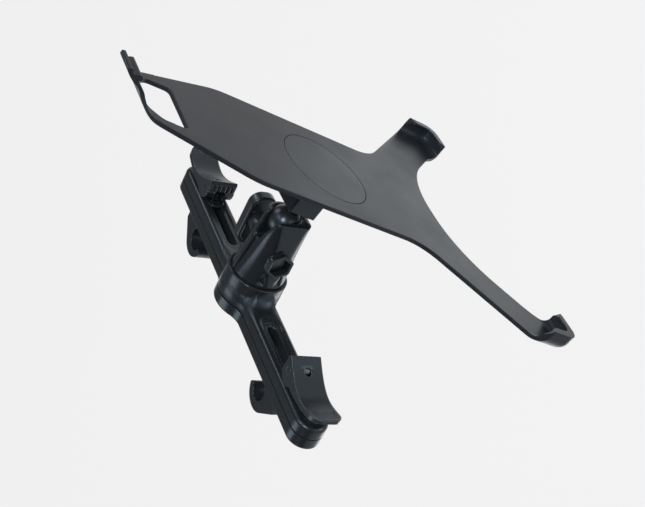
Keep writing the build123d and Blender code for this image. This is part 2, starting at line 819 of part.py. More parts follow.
def cradle_plate():
    """The whole moulded cradle in the plate's own frame."""
    outline = plate_outline()
    plate = prism(outline, -plate_thickness, 0)
    plate = fillet(plate.edges().group_by(Axis.Z)[-1], plate_edge_round)
    sheet_start = bay_top - clip_sheet_drop
    plate -= Pos(0, sheet_start + wide / 2, 0) * Box(wide, wide, tall)
    plate += clip_sheet() & prism(outline, -plate_thickness, tall)
    plate += both_arms(cup_walls(outline))
    room, outside = cup_cuts()
    plate -= both_arms(room)
    plate -= both_arms(outside)
    pad = fillet(Rectangle(pad_size, pad_size).vertices(), pad_corner)
    plate += prism(pad, -plate_thickness - pad_thickness, -plate_thickness)
    plate -= prism(Circle(disc_diameter / 2), -disc_thickness, tall)
    for place in block_screw_places():
        plate -= block_screw(place, screw_clearance)
    return plate


def cover_disc():
    """Flush disc over the block's screws."""
    return prism(Circle(disc_diameter / 2 - disc_gap), -disc_thickness, 0)


def adapter_block():
    """Square block under the plate, bored for the stud and the four screws."""
    face = fillet(Rectangle(block_size, block_size).vertices(), block_edge_round)
    block = prism(face, -block_drop, -plate_thickness - pad_thickness)
    bore_end = stud_thread_length + stud_fit - block_drop
    block -= prism(Circle(stud_thread_diameter / 2 + stud_fit), -block_drop, bore_end)
    for place in block_screw_places():
        block -= block_screw(place, screw_clearance)
    return block


def ball_stud():
    """Neck, flange and thread between the ball and the block, from the ball's centre."""
    seat = plate_height - block_drop
    flange_base = seat - flange_thickness
    stud = prism(Circle(neck_diameter / 2), 0, seat) + prism(Circle(flange_diameter / 2), flange_base, seat)
    stud -= Sphere(ball_radius + stud_clearance)
    return stud + prism(Circle(stud_thread_diameter / 2), flange_base, seat + stud_thread_length)


front_shell, rear_shell = bar_shells()
half_near, half_far = socket_halves()
disc_screws = Part() + [block_screw(place, 0) for place in block_screw_places()]

nodes = {
    "bar_front_shell": front_shell,
    "bar_rear_shell": rear_shell,
    "bar_screws": screws(shell_screw_places, shell_screw_tip),
    "socket_screws": screws(socket_screw_places, socket_screw_tip),
    "socket_half_near": half_near,
    "socket_half_far": half_far,
    "clamp_bolt": clamp_bolt(),
    "wing_knob": wing_knob(),
    "knob_insert": knob_insert(),
    "thrust_washer": thrust_washer(),
    "release_spring": release_spring(),
    "ball": Pos(0, 0, ball_z) * Sphere(ball_radius),
    "ball_stud": cradle_place * ball_stud(),
    "adapter_block": plate_place * adapter_block(),
    "block_screws": plate_place * disc_screws,
    "cover_disc": plate_place * cover_disc(),
    "cradle_plate": plate_place * cradle_plate(),
}
clamp_pieces = {
    "cam_lever": lever(),
    "lever_pin": lever_pin(),
    "draw_bolt": draw_bolt(),
    "cam_seat": cam_seat(),
    "jaw": jaw(),
    "jaw_nut": jaw_nut(),
}
for name, piece in clamp_pieces.items():
    nodes[name + "_far"] = piece
    nodes[name + "_near"] = mirror(piece, about=Plane.YZ)

os.makedirs("parts", exist_ok=True)
for name, piece in nodes.items():
    export_step(bench_to_row * piece, "parts/" + name + ".step")
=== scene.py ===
"""Looks for the headrest tablet mount: finishes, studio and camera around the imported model."""
import logging
import math
from dataclasses import dataclass, field, replace
from enum import Enum

import bmesh
import bpy
from mathutils import Matrix, Vector


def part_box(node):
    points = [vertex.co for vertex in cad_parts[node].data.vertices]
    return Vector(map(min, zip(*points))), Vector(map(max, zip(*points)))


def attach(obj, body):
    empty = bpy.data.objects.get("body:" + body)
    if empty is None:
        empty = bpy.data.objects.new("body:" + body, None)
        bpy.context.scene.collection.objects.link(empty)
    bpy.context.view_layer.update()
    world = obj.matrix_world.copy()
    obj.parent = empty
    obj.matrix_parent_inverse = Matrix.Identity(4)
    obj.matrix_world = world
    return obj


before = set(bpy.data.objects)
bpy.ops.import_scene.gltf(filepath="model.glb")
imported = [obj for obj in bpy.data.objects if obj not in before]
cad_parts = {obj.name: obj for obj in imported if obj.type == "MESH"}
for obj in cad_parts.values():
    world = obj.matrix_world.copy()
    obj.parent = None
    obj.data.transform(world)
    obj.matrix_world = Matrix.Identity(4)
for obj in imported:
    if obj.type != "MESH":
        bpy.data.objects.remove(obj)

LOG = logging.getLogger("headrest_mount")
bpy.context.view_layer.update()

Colour = tuple[float, float, float]
Point = tuple[float, float, float]
Span = tuple[float, float]
Material = bpy.types.Material
Socket = bpy.types.NodeSocket
Tree = bpy.types.NodeTree
Vert = bmesh.types.BMVert

RISING: Span = (0.0, 1.0)
FALLING: Span = (1.0, 0.0)

# Places of the colour sockets on a Mix node.
MIX_SHARE = 0
MIX_FIRST = 6
MIX_SECOND = 7
MIX_RESULT = 2


class Side(Enum):
    """The two ends of the bar, as the photograph shows them."""

    NEAR = "near"
    FAR = "far"


class Effect(Enum):
    """Names of the shared surface effects."""

    GRAIN = "moulded grain"
    TONE = "moulding tone"
    WEAR = "edge wear"
    DUST = "settled dust"
    TURNING = "turning marks"
    # The gap and seam effects paint a shadow line as shade into the colour.
    GAP = "disc gap"
    SEAM = "shell seam"
    FOOT = "collar foot"
    FLANK = "socket flank"


class Wiring:
    """A node tree with short ways to add nodes and join them."""

    def __init__(self, tree: Tree) -> None:
        """Keeps the tree to add to."""
        self.tree = tree

    def node(self, kind: str, **values: object) -> bpy.types.Node:
        """Adds a node and sets its properties.

        Args:
            kind: The node's type name, without the ShaderNode prefix.
            values: Properties of the node itself.

        Returns:
            The new node.
        """
        made = self.tree.nodes.new("ShaderNode" + kind)
        for name, value in values.items():
            setattr(made, name, value)
        return made

    def link(self, start: Socket, end: Socket) -> None:
        """Joins an output to an input."""
        self.tree.links.new(start, end)

    def feed(self, end: Socket, value: "Socket | float | tuple") -> None:
        """Joins or sets an input, whichever the value needs.

        Args:
            end: The input socket.
            value: An output socket, or a constant.
        """
        if isinstance(value, bpy.types.NodeSocket):
            self.link(value, end)
        else:
            end.default_value = value

    def maths(
        self, operation: str, first: "Socket | float", second: "Socket | float" = 0.0
    ) -> Socket:
        """A sum, product or other calculation on two values.

        Args:
            operation: The maths node's operation.
            first: First value or socket.
            second: Second value or socket.

        Returns:
            The result's socket.
        """
        made = self.node("Math", operation=operation)
        self.feed(made.inputs[0], first)
        self.feed(made.inputs[1], second)
        return made.outputs[0]

    def product(self, first: Socket, *others: "Socket | float") -> Socket:
        """Several values multiplied together.

        Args:
            first: The first value.
            others: The other values.

        Returns:
            The product's socket.
        """
        result = first
        for other in others:
            result = self.maths("MULTIPLY", result, other)
        return result

    def place(self) -> Socket:
        """The place on the piece, in metres."""
        return self.node("TexCoord").outputs["Object"]

    def axes(self) -> dict[str, Socket]:
        """The place on the piece, axis by axis.

        Returns:
            A socket for each of X, Y and Z.
        """
        parts = self.node("SeparateXYZ")
        self.link(self.place(), parts.inputs[0])
        return dict(parts.outputs.items())

    def point(self, **values: Socket) -> Socket:
        """A point made of values for its axes.

        Args:
            values: Sockets by axis, where an axis left out is 0.

        Returns:
            The point's socket.
        """
        made = self.node("CombineXYZ")
        for axis, value in values.items():
            self.link(value, made.inputs[axis])
        return made.outputs[0]

    def measure(self, operation: str, *vectors: Socket) -> Socket:
        """A length, a distance or a dot product.

        Args:
            operation: The vector maths node's operation.
            vectors: One or two vectors.

        Returns:
            The value's socket.
        """
        made = self.node("VectorMath", operation=operation)
        for end, vector in zip(made.inputs, vectors):
            self.link(vector, end)
        return made.outputs["Value"]

    def noise(
        self, where: Socket, scale: "Socket | float", detail: float, roughness: float = 0.5
    ) -> Socket:
        """Noise between 0 and 1.

        Args:
            where: Coordinates.
            scale: Cells per metre.
            detail: Number of finer layers.
            roughness: Strength of the finer layers.

        Returns:
            The noise's socket.
        """
        made = self.node("TexNoise")
        self.link(where, made.inputs["Vector"])
        self.feed(made.inputs["Scale"], scale)
        made.inputs["Detail"].default_value = detail
        made.inputs["Roughness"].default_value = roughness
        return made.outputs[0]

    def spread(self, value: Socket, span: Span, result: Span = RISING) -> Socket:
        """Maps a value's span to another, clamped.

        Args:
            value: The value.
            span: Values that map to the ends of the result.
            result: Results at the two ends of the span.

        Returns:
            The mapped socket.
        """
        made = self.node("MapRange")
        self.link(value, made.inputs["Value"])
        names = ("From Min", "From Max", "To Min", "To Max")
        for name, limit in zip(names, (*span, *result)):
            made.inputs[name].default_value = limit
        return made.outputs[0]


Group = tuple[Wiring, dict[str, Socket], dict[str, Socket]]


@dataclass
class Effects:
    """The shared effects, each a node group made once.

    Attributes:
        fine_share: Share of fine noise in the grain's height.
        patch_ratio: Grain cells to one patch of gloss.
        patch_span: Noise at which a patch starts and is full.
        cloud_share: Share of the slow clouds in the tone.
        flow_share: Share of the flow lines in the tone.
        flow_ratio: Flow lines to one cloud.
        shade_span: Noise at which the tone is darkest and lightest.
        bevel_samples: Samples that smooth the rounded normals.
        edge_span: Bend of the normal at which rubbing starts and is full.
        scuff_scale: Cells per metre of the broken rubbing.
        scuff_span: Noise at which rubbing starts and is full.
        speck_span: Noise at which a speck of dust starts and is full.
        veil_ratio: Specks to one cloud of dust.
        veil_span: Noise at which a cloud of dust starts and is full.
        mark_stretch: Scale of the tool marks along each axis.
        mark_span: Noise at which a mark is smoothest and roughest.
        collar_span: Distances from the boss's axis over which the foot's blend comes in.
        arm_span: Distances from the boss's axis over which it fades on the bar's arms.
        foot_span: Depths under the collar's rim over which the foot's blend comes in.
        side_span: Depths under the collar's rim over which it fades on the bar's side.
        bolt_span: Distances from the bolt's axis over which the flanks' blend comes in.
        groups: The groups by effect.
    """

    fine_share: float = 0.5
    patch_ratio: float = 60.0
    patch_span: Span = (0.3, 0.7)
    cloud_share: float = 0.75
    flow_share: float = 0.25
    flow_ratio: float = 9.0
    shade_span: Span = (0.3, 0.7)
    bevel_samples: int = 12
    edge_span: Span = (0.02, 0.25)
    scuff_scale: float = 420.0
    scuff_span: Span = (0.25, 0.6)
    speck_span: Span = (0.66, 0.78)
    veil_ratio: float = 25.0
    veil_span: Span = (0.4, 0.75)
    mark_stretch: Point = (1.0, 0.06, 1.0)
    mark_span: Span = (0.35, 0.65)
    collar_span: Span = (0.0155, 0.0163)
    arm_span: Span = (0.024, 0.036)
    foot_span: Span = (0.0025, 0.0075)
    side_span: Span = (0.0135, 0.0165)
    bolt_span: Span = (0.0085, 0.0115)
    groups: dict[Effect, Tree] = field(init=False)

    def __post_init__(self) -> None:
        """Makes every group."""
        self.groups = {
            Effect.GRAIN: self.grain(),
            Effect.TONE: self.tone(),
            Effect.WEAR: self.wear(),
            Effect.DUST: self.dust(),
            Effect.TURNING: self.turning(),
            Effect.GAP: self.gap(),
            Effect.SEAM: self.seam(),
            Effect.FOOT: self.foot(),
            Effect.FLANK: self.flank(),
        }

    @staticmethod
    def group(effect: Effect, inputs: dict[str, float], outputs: list[str]) -> Group:
        """An empty group with its sockets.

        Args:
            effect: The effect's name.
            inputs: Input names and their defaults.
            outputs: Output names.

        Returns:
            The group's wiring, its input sockets and its output sockets, by name.
        """
        tree = bpy.data.node_groups.new(effect.value, "ShaderNodeTree")
        for name, value in inputs.items():
            made = tree.interface.new_socket(
                name, in_out="INPUT", socket_type="NodeSocketFloat"
            )
            made.default_value = value
        for name in outputs:
            kind = "NodeSocketVector" if name == "Normal" else "NodeSocketFloat"
            tree.interface.new_socket(name, in_out="OUTPUT", socket_type=kind)
        start = tree.nodes.new("NodeGroupInput")
        end = tree.nodes.new("NodeGroupOutput")
        return Wiring(tree), dict(start.outputs.items()), dict(end.inputs.items())

    def grain(self) -> Tree:
        """Fine pebbled grain of a moulding: its height, and a patchy change of roughness.

        Returns:
            The new group.
        """
        wiring, given, out = self.group(Effect.GRAIN, {"Scale": 2500.0}, ["Height", "Patch"])
        where = wiring.place()
        fine = wiring.noise(where, given["Scale"], detail=2.0)
        cells = wiring.node("TexVoronoi")
        wiring.link(where, cells.inputs["Vector"])
        wiring.link(given["Scale"], cells.inputs["Scale"])
        pebble = wiring.maths("SUBTRACT", 1.0, cells.outputs["Distance"])
        height = wiring.maths("ADD", wiring.product(fine, self.fine_share), pebble)
        wiring.link(height, out["Height"])
        coarse = wiring.maths("DIVIDE", given["Scale"], self.patch_ratio)
        patch = wiring.noise(where, coarse, detail=3.0, roughness=0.6)
        wiring.link(wiring.spread(patch, self.patch_span), out["Patch"])
        return wiring.tree

    def tone(self) -> Tree:
        """Slow changes of shade over a moulding, with faint flow lines.

        Returns:
            The new group.
        """
        wiring, given, out = self.group(Effect.TONE, {"Scale": 18.0}, ["Shade"])
        where = wiring.place()
        cloud = wiring.noise(where, given["Scale"], detail=4.0, roughness=0.55)
        flow = wiring.noise(where, wiring.product(given["Scale"], self.flow_ratio), detail=2.0)
        both = wiring.maths(
            "ADD",
            wiring.product(cloud, self.cloud_share),
            wiring.product(flow, self.flow_share),
        )
        wiring.link(wiring.spread(both, self.shade_span), out["Shade"])
        return wiring.tree

    def wear(self) -> Tree:
        """Softened edges: a rounded normal, and a mask of the edges where rubbing has polished
        them, which on the levers also carries a painted highlight.

        Returns:
            The new group.
        """
        wiring, given, out = self.group(Effect.WEAR, {"Radius": 0.0004}, ["Normal", "Rubbed And Highlight"])
        bevel = wiring.node("Bevel", samples=self.bevel_samples)
        wiring.link(given["Radius"], bevel.inputs["Radius"])
        soft = bevel.outputs[0]
        sharp = wiring.node("NewGeometry").outputs["Normal"]
        bend = wiring.maths("SUBTRACT", 1.0, wiring.measure("DOT_PRODUCT", soft, sharp))
        edge = wiring.spread(bend, self.edge_span)
        scuffs = wiring.noise(wiring.place(), self.scuff_scale, detail=4.0, roughness=0.65)
        wiring.link(soft, out["Normal"])
        rubbed_and_highlight = wiring.product(edge, wiring.spread(scuffs, self.scuff_span))
        wiring.link(rubbed_and_highlight, out["Rubbed And Highlight"])
        return wiring.tree

    def dust(self) -> Tree:
        """A thin veil of dust in specks and clouds.

        Returns:
            The new group.
        """
        wiring, given, out = self.group(Effect.DUST, {"Scale": 700.0}, ["Veil"])
        where = wiring.place()
        fine = wiring.noise(where, given["Scale"], detail=2.0, roughness=0.7)
        coarse = wiring.maths("DIVIDE", given["Scale"], self.veil_ratio)
        specks = wiring.spread(fine, self.speck_span)
        clouds = wiring.spread(wiring.noise(where, coarse, detail=3.0), self.veil_span)
        wiring.link(wiring.product(specks, clouds), out["Veil"])
        return wiring.tree

    def turning(self) -> Tree:
        """Fine tool marks on turned and drawn metal.

        Returns:
            The new group.
        """
        sizes = {"Scale": 3000.0}
        wiring, given, out = self.group(Effect.TURNING, sizes, ["Height", "Patch"])
        stretch = wiring.node("Mapping")
        stretch.inputs["Scale"].default_value = self.mark_stretch
        wiring.link(wiring.place(), stretch.inputs["Vector"])
        along = stretch.outputs["Vector"]
        lines = wiring.noise(along, given["Scale"], detail=3.0, roughness=0.6)
        wiring.link(lines, out["Height"])
        wiring.link(wiring.spread(lines, self.mark_span), out["Patch"])
        return wiring.tree

    def gap(self) -> Tree:
        """The fine shadow line where the disc meets the plate, painted as shade into the colour.

        Returns:
            The new group.
        """
        sizes = {"Radius": 0.0249, "Width": 0.0003, "X": 0.0, "Y": 0.0, "Z": 0.0}
        wiring, given, out = self.group(Effect.GAP, sizes, ["Line", "Height"])
        centre = wiring.point(**{axis: given[axis] for axis in "XYZ"})
        reach = wiring.measure("DISTANCE", wiring.place(), centre)
        self.shadow_line(wiring, wiring.maths("SUBTRACT", reach, given["Radius"]), given, out)
        return wiring.tree

    def seam(self) -> Tree:
        """The fine shadow line where the bar's shells meet, painted as shade into the colour.

        Returns:
            The new group.
        """
        sizes = {"Y": 0.0, "Width": 0.00045}
        wiring, given, out = self.group(Effect.SEAM, sizes, ["Line", "Height"])
        off = wiring.maths("SUBTRACT", wiring.axes()["Y"], given["Y"])
        self.shadow_line(wiring, off, given, out)
        return wiring.tree

    def foot(self) -> Tree:
        """How far the normals are blended, widest where the collar runs out into the bar.

        Returns:
            The new group.
        """
        sizes = {"Rim": 0.0, "Edge": 0.0006, "Blend": 0.006}
        wiring, given, out = self.group(Effect.FOOT, sizes, ["Radius"])
        axes = wiring.axes()
        reach = wiring.measure("LENGTH", wiring.point(X=axes["X"], Z=axes["Z"]))
        below = wiring.maths("SUBTRACT", axes["Y"], given["Rim"])
        share = wiring.product(
            wiring.spread(reach, self.collar_span),
            wiring.spread(reach, self.arm_span, FALLING),
            wiring.spread(below, self.foot_span),
            wiring.spread(below, self.side_span, FALLING),
        )
        self.blend_radius(wiring, share, given, out)
        return wiring.tree

    def flank(self) -> Tree:
        """How far the normals are blended, wide on the socket's flanks and fine at its bolt.

        Returns:
            The new group.
        """
        sizes = {"Y": 0.0, "Z": 0.0, "Edge": 0.0006, "Blend": 0.0025}
        wiring, given, out = self.group(Effect.FLANK, sizes, ["Radius"])
        axes = wiring.axes()
        off = {axis: wiring.maths("SUBTRACT", axes[axis], given[axis]) for axis in "YZ"}
        reach = wiring.measure("LENGTH", wiring.point(**off))
        self.blend_radius(wiring, wiring.spread(reach, self.bolt_span), given, out)
        return wiring.tree

    @staticmethod
    def shadow_line(
        wiring: Wiring, off: Socket, given: dict[str, Socket], out: dict[str, Socket]
    ) -> None:
        """Puts out a line's place, where the colour is darkened as painted shade, and the height
        that falls into it.

        Args:
            wiring: The group's wiring.
            off: Distance from the line, to either side.
            given: The group's inputs, with the line's Width.
            out: The group's outputs.
        """
        share = wiring.maths("DIVIDE", wiring.maths("ABSOLUTE", off), given["Width"])
        height = wiring.maths("MINIMUM", share, 1.0)
        wiring.link(height, out["Height"])
        wiring.link(wiring.maths("SUBTRACT", 1.0, height), out["Line"])

    @staticmethod
    def blend_radius(
        wiring: Wiring, share: Socket, given: dict[str, Socket], out: dict[str, Socket]
    ) -> None:
        """Puts out the radius of an edge, widened where the share says.

        Args:
            wiring: The group's wiring.
            share: How much of the wide blend a place takes, 0 to 1.
            given: The group's inputs, with the radius at an Edge and the wide Blend.
            out: The group's outputs.
        """
        wider = wiring.product(share, given["Blend"])
        wiring.link(wiring.maths("ADD", given["Edge"], wider), out["Radius"])

    def add(
        self, wiring: Wiring, effect: Effect, **values: "Socket | float"
    ) -> dict[str, Socket]:
        """Uses an effect in a material.

        Args:
            wiring: The material's wiring.
            effect: Which effect.
            values: Inputs by name.

        Returns:
            The effect's outputs by name.
        """
        made = wiring.node("Group")
        made.node_tree = self.groups[effect]
        for name, value in values.items():
            wiring.feed(made.inputs[name], value)
        return dict(made.outputs.items())


def new_material(name: str) -> tuple[Material, Wiring, bpy.types.Node]:
    """A plain material to wire up.

    Args:
        name: The material's name.

    Returns:
        The material, its wiring and its shader.
    """
    material = bpy.data.materials.new(name)
    material.use_nodes = True
    tree = material.node_tree
    return material, Wiring(tree), tree.nodes["Principled BSDF"]


def blend_colours(
    wiring: Wiring, share: Socket, first: "Socket | Colour", second: Colour
) -> Socket:
    """Mixes two colours by a share.

    Args:
        wiring: The material's wiring.
        share: 0 for the first colour, 1 for the second.
        first: Colour or socket.
        second: Colour.

    Returns:
        The mixed colour's socket.
    """
    made = wiring.node("Mix", data_type="RGBA")
    wiring.link(share, made.inputs[MIX_SHARE])
    base = first if isinstance(first, bpy.types.NodeSocket) else (*first, 1.0)
    wiring.feed(made.inputs[MIX_FIRST], base)
    wiring.feed(made.inputs[MIX_SECOND], (*second, 1.0))
    return made.outputs[MIX_RESULT]


def relief(
    wiring: Wiring, height: Socket, normal: Socket, strength: float, depth: float
) -> Socket:
    """Raises a surface's normal by a height.

    Args:
        wiring: The material's wiring.
        height: The height's socket.
        normal: The normal to start from.
        strength: Share of the effect, 0 to 1.
        depth: Depth in metres of one unit of height.

    Returns:
        The new normal's socket.
    """
    bump = wiring.node("Bump")
    bump.inputs["Strength"].default_value = strength
    bump.inputs["Distance"].default_value = depth
    wiring.link(height, bump.inputs["Height"])
    wiring.link(normal, bump.inputs["Normal"])
    return bump.outputs[0]


@dataclass(frozen=True)
class PlasticFinish:
    """A moulded plastic surface.

    Attributes:
        name: The material's name.
        dark: Colour where the tone is darkest.
        light: Colour where the tone is lightest.
        roughness: Roughness of the smoothest patches.
        roughness_patch: What the roughest patches add to it.
        specular: Strength of the gloss.
        grain_scale: Grain cells per metre.
        grain_depth: Height of the grain in metres.
        grain_strength: Share of the grain that shows, 0 to 1.
        edge_radius: Radius of the softened edges in metres.
        sheen: Tint of the gloss.
        rubbed_and_highlight: Colour of edges polished by wear, lighter than the plastic; on the
            levers it is light enough to paint a highlight along the edges.
        rubbed_and_highlight_share: How much of that colour shows.
        rubbed_gloss: Roughness that rubbing takes off.
        dusty: Colour of dust.
        dusty_share: How much of that colour shows.
        dusty_dulling: Roughness that dust adds.
        gap_centre: Middle of the disc, for a piece that meets the disc's gap.
        painted_shadow_colour: Painted shade colour of a shadow line.
        gap_depth: Depth of a shadow line in metres.
        gap_dulling: Roughness that a shadow line adds.
        seam: Place of the shells' seam along Y, for a shell of the bar.
        collar_rim: Place of the collar's rim along Y, for a shell of the bar.
        bolt_axis: Place of the bolt's axis in Y and Z, for a half of the socket.
    """

    name: str
    dark: Colour
    light: Colour
    roughness: float
    roughness_patch: float
    specular: float
    grain_scale: float
    grain_depth: float
    grain_strength: float = 0.25
    edge_radius: float = 0.0008
    sheen: Colour = (0.7, 0.85, 1.0)
    rubbed_and_highlight: Colour = (0.09, 0.095, 0.1)
    rubbed_and_highlight_share: float = 0.15
    rubbed_gloss: float = 0.06
    dusty: Colour = (0.22, 0.22, 0.22)
    dusty_share: float = 0.12
    dusty_dulling: float = 0.15
    gap_centre: "Point | None" = None
    painted_shadow_colour: Colour = (0.002, 0.002, 0.002)
    gap_depth: float = 0.0005
    gap_dulling: float = 0.4
    seam: "float | None" = None
    collar_rim: "float | None" = None
    bolt_axis: "tuple[float, float] | None" = None

    def blend_reach(self, wiring: Wiring, effects: Effects) -> "Socket | float":
        """How far the normals are blended at edges.

        Args:
            wiring: The material's wiring.
            effects: The shared effects.

        Returns:
            A radius that varies by place on the bar and the socket, and is even elsewhere.
        """
        edge = self.edge_radius
        if self.collar_rim is not None:
            return effects.add(wiring, Effect.FOOT, Rim=self.collar_rim, Edge=edge)["Radius"]
        if self.bolt_axis is not None:
            axis = dict(zip("YZ", self.bolt_axis))
            return effects.add(wiring, Effect.FLANK, Edge=edge, **axis)["Radius"]
        return edge

    def shadow_line(self, wiring: Wiring, effects: Effects) -> "dict[str, Socket] | None":
        """The line where this piece meets its neighbour, painted as shade into the colour.

        Args:
            wiring: The material's wiring.
            effects: The shared effects.

        Returns:
            The line's outputs, or None where the finish has no such line.
        """
        if self.gap_centre is not None:
            return effects.add(wiring, Effect.GAP, **dict(zip("XYZ", self.gap_centre)))
        if self.seam is not None:
            return effects.add(wiring, Effect.SEAM, Y=self.seam)
        return None

    def build(self, effects: Effects) -> Material:
        """Makes the material.

        Args:
            effects: The shared effects.

        Returns:
            The new material.
        """
        material, wiring, shader = new_material(self.name)
        grain = effects.add(wiring, Effect.GRAIN, Scale=self.grain_scale)
        tone = effects.add(wiring, Effect.TONE)
        wear = effects.add(wiring, Effect.WEAR, Radius=self.blend_reach(wiring, effects))
        dust = effects.add(wiring, Effect.DUST)
        line = self.shadow_line(wiring, effects)

        colour = blend_colours(wiring, tone["Shade"], self.dark, self.light)
        # The edges lighten: wear, and on the levers a painted highlight.
        worn_and_highlight = wiring.product(wear["Rubbed And Highlight"], self.rubbed_and_highlight_share)
        colour = blend_colours(wiring, worn_and_highlight, colour, self.rubbed_and_highlight)
        veil = wiring.product(dust["Veil"], self.dusty_share)
        colour = blend_colours(wiring, veil, colour, self.dusty)

        rough_span = (self.roughness, self.roughness + self.roughness_patch)
        rough = wiring.spread(grain["Patch"], RISING, rough_span)
        polish = wiring.product(wear["Rubbed And Highlight"], self.rubbed_gloss)
        rough = wiring.maths("SUBTRACT", rough, polish)
        rough = wiring.maths("ADD", rough, wiring.product(dust["Veil"], self.dusty_dulling))

        normal = wear["Normal"]
        if line is not None:
            # Painted shade: the colour darkens along the disc's gap and the shells' seam, where
            # shadow falls.
            colour = blend_colours(wiring, line["Line"], colour, self.painted_shadow_colour)
            rough = wiring.maths("ADD", rough, wiring.product(line["Line"], self.gap_dulling))
            normal = relief(wiring, line["Height"], normal, strength=1.0, depth=self.gap_depth)
        normal = relief(wiring, grain["Height"], normal, self.grain_strength, self.grain_depth)

        wiring.link(colour, shader.inputs["Base Color"])
        wiring.link(rough, shader.inputs["Roughness"])
        wiring.link(normal, shader.inputs["Normal"])
        shader.inputs["Specular IOR Level"].default_value = self.specular
        shader.inputs["Specular Tint"].default_value = (*self.sheen, 1.0)
        return material


@dataclass(frozen=True)
class MetalFinish:
    """A turned, drawn or plated metal surface.

    Attributes:
        name: The material's name.
        dark: Colour where the tone is darkest.
        light: Colour where the tone is lightest.
        roughness: Roughness of the smoothest marks.
        roughness_patch: What the roughest marks add to it.
        tone_scale: Clouds of tone per metre.
        mark_scale: Tool marks per metre.
        mark_depth: Height of the marks in metres.
        mark_strength: Share of the marks that shows, 0 to 1.
        edge_radius: Radius of the softened edges in metres.
    """

    name: str
    dark: Colour
    light: Colour
    roughness: float
    roughness_patch: float = 0.12
    tone_scale: float = 120.0
    mark_scale: float = 3000.0
    mark_depth: float = 0.00002
    mark_strength: float = 0.12
    edge_radius: float = 0.0002

    def build(self, effects: Effects) -> Material:
        """Makes the material.

        Args:
            effects: The shared effects.

        Returns:
            The new material.
        """
        material, wiring, shader = new_material(self.name)
        marks = effects.add(wiring, Effect.TURNING, Scale=self.mark_scale)
        tone = effects.add(wiring, Effect.TONE, Scale=self.tone_scale)
        wear = effects.add(wiring, Effect.WEAR, Radius=self.edge_radius)
        colour = blend_colours(wiring, tone["Shade"], self.dark, self.light)
        rough_span = (self.roughness, self.roughness + self.roughness_patch)
        rough = wiring.spread(marks["Patch"], RISING, rough_span)
        normal = relief(
            wiring, marks["Height"], wear["Normal"], self.mark_strength, self.mark_depth
        )
        wiring.link(colour, shader.inputs["Base Color"])
        wiring.link(rough, shader.inputs["Roughness"])
        wiring.link(normal, shader.inputs["Normal"])
        shader.inputs["Metallic"].default_value = 1.0
        return material


def middle_of(node: str) -> Point:
    """Middle of a node's box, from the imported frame."""
    corners = [Vector(corner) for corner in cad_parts[node].bound_box]
    return tuple(sum(corners, Vector()) / len(corners))


class Palette:
    """Every finish of the object, made once."""

    def __init__(self, effects: Effects) -> None:
        """Builds the materials.

        Args:
            effects: The shared effects.
        """
        disc_centre = middle_of("cover_disc")
        bolt_axis = middle_of("clamp_bolt")[1:]
        shell_depths = [y for x, y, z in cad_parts["bar_front_shell"].bound_box]
        cradle = PlasticFinish(
            name="satin cradle plastic",
            dark=(0.012, 0.014, 0.017),
            light=(0.017, 0.0195, 0.023),
            roughness=0.29,
            roughness_patch=0.08,
            specular=0.15,
            grain_scale=2200.0,
            grain_depth=0.00005,
            edge_radius=0.0006,
            gap_centre=disc_centre,
        )
        disc = replace(
            cradle,
            name="satin disc plastic",
            dark=(0.0125, 0.0145, 0.0175),
            light=(0.0175, 0.02, 0.0235),
            roughness_patch=0.07,
            grain_scale=2600.0,
            edge_radius=0.0002,
        )
        bar = PlasticFinish(
            name="semi-gloss bar plastic",
            dark=(0.007, 0.0085, 0.01),
            light=(0.011, 0.0125, 0.0145),
            roughness=0.24,
            roughness_patch=0.07,
            specular=0.32,
            grain_scale=3000.0,
            grain_depth=0.00003,
        )
        shell = replace(
            bar,
            name="semi-gloss shell plastic",
            edge_radius=0.00025,
            seam=max(shell_depths),
            collar_rim=min(shell_depths),
        )
        socket = PlasticFinish(
            name="semi-gloss socket plastic",
            dark=(0.007, 0.0085, 0.0095),
            light=(0.01, 0.0118, 0.0135),
            roughness=0.19,
            roughness_patch=0.06,
            specular=0.35,
            grain_scale=3200.0,
            grain_depth=0.00002,
        )
        half = replace(
            socket,
            name="semi-gloss socket half plastic",
            edge_radius=0.0006,
            bolt_axis=bolt_axis,
        )
        lever = replace(
            bar,
            name="semi-gloss lever plastic",
            dark=(0.011, 0.0125, 0.014),
            light=(0.016, 0.018, 0.02),
            roughness=0.27,
            specular=0.35,
            edge_radius=0.001,
            # Painted highlight: a light colour at half share on the lever's edges, over the
            # wear.
            rubbed_and_highlight=(0.16, 0.17, 0.18),
            rubbed_and_highlight_share=0.5,
        )
        knob = replace(
            bar,
            name="semi-gloss knob plastic",
            dark=(0.011, 0.0125, 0.0145),
            light=(0.016, 0.018, 0.0205),
            roughness=0.25,
            specular=0.4,
        )
        ball = PlasticFinish(
            name="polished ball plastic",
            dark=(0.01, 0.0105, 0.011),
            light=(0.014, 0.0145, 0.015),
            roughness=0.3,
            roughness_patch=0.05,
            specular=0.5,
            grain_scale=3600.0,
            grain_depth=0.00001,
        )
        black_steel = MetalFinish(
            name="blackened steel",
            dark=(0.05, 0.051, 0.053),
            light=(0.075, 0.076, 0.08),
            roughness=0.3,
        )
        steel = MetalFinish(
            name="plated steel",
            dark=(0.42, 0.43, 0.45),
            light=(0.55, 0.56, 0.58),
            roughness=0.25,
        )
        brass = MetalFinish(
            name="machined brass",
            dark=(0.5, 0.36, 0.14),
            light=(0.62, 0.46, 0.2),
            roughness=0.28,
        )
        self.cradle = cradle.build(effects)
        self.disc = disc.build(effects)
        self.shell = shell.build(effects)
        self.bar = bar.build(effects)
        self.socket = socket.build(effects)
        self.half = half.build(effects)
        self.lever = lever.build(effects)
        self.knob = knob.build(effects)
        self.ball = ball.build(effects)
        self.black_steel = black_steel.build(effects)
        self.steel = steel.build(effects)
        self.brass = brass.build(effects)


